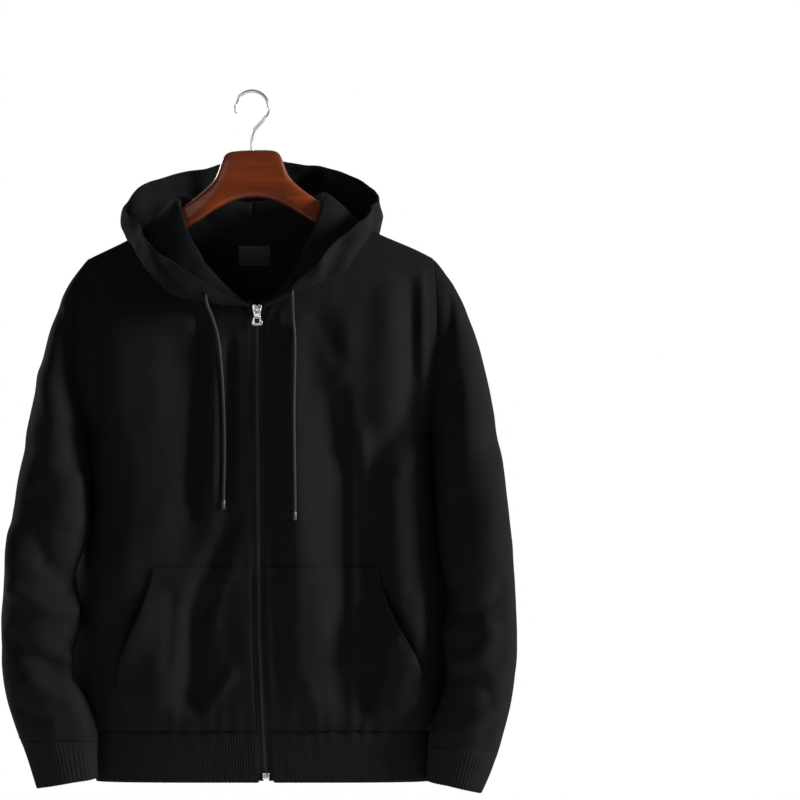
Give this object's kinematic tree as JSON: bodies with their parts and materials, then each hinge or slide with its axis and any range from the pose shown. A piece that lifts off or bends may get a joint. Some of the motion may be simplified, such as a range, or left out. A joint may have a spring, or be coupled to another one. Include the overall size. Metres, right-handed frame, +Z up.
{
  "type": "zip up hoodie on a wooden hanger",
  "caption": "Long sleeved zip up fleece hoodie with drawcord hood, patch pockets and rib cuffs, hanging open at neck, hem and cuffs on a wooden hanger with a wire hook.",
  "frame": {"origin": "inside top of the hanger's wire hook, where the rail carries it", "axes": "+Z up, +X towards the wearer's left, the front with the zip faces -Y"},
  "size_m": [0.6175, 0.1917, 0.8429],
  "materials": {
    "fleece": "brushed black cotton fleece, matt with a short nap",
    "rib": "black rib knit, matt",
    "zip_tape": "black woven tape",
    "zip_chain": "black moulded coil",
    "zip_metal": "silver grey cast metal, worn bright on its edges",
    "cord": "black braided round cord",
    "cord_end": "dark smooth sleeve",
    "label": "plain dark satin",
    "wood": "red brown varnish, glossy",
    "hook": "bright plated wire"
  },
  "bodies": {
    "garment": {"front_left": "fleece", "front_right": "fleece", "back": "fleece", "sleeve_left": "fleece", "sleeve_right": "fleece", "cuff_left": "rib", "cuff_right": "rib", "hem_band": "rib", "hood_left": "fleece", "hood_right": "fleece", "pocket_left": "fleece", "pocket_right": "fleece", "zip_tape_left": "zip_tape", "zip_tape_right": "zip_tape", "zip_chain": "zip_chain", "zip_slider": "zip_metal", "zip_stop": "zip_metal", "neck_label": "label", "drawcord_left": "cord", "drawcord_right": "cord", "cord_tip_left": "cord_end", "cord_tip_right": "cord_end", "hanger_wood": "wood", "hanger_hook": "hook"},
    "pull_tab": {"zip_pull": "zip_metal"}
  },
  "joints": [
    {"name": "pull_swing", "type": "hinge", "parent": "garment", "child": "pull_tab", "pos_m": [0.00753, -0.0626, -0.26], "axis": [-1, 0, 0], "range_deg": [0, 150]}
  ]
}
